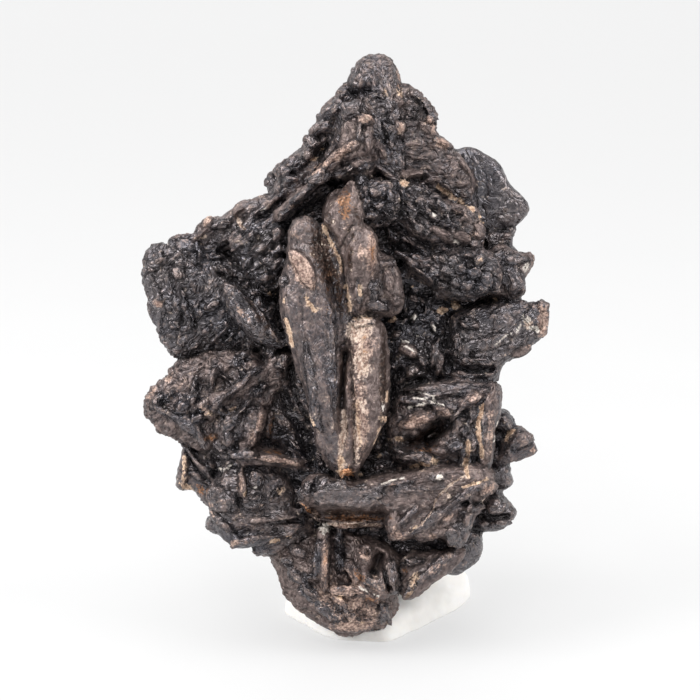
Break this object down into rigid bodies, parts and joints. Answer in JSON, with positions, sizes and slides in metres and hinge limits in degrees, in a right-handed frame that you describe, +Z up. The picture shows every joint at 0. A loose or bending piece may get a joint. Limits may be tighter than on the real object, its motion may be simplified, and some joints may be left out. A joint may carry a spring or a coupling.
{
  "type": "prophecy stone",
  "caption": "Rough leaf-shaped iron-oxide stone of fused blades and plates, standing upright in a low wad of white putty.",
  "frame": {"origin": "middle of the bounding box's base, on the flat underside of the putty", "axes": "+Z up, +X to the right of the stone's bladed face, -Y out of that face"},
  "size_m": [0.1004, 0.0566, 0.1459],
  "materials": {
    "iron_oxide": "satin dark brown-black crust with ochre in its cracks",
    "putty": "matt white tack putty"
  },
  "bodies": {
    "root": {"stone": "iron_oxide", "putty": "putty"}
  },
  "joints": []
}
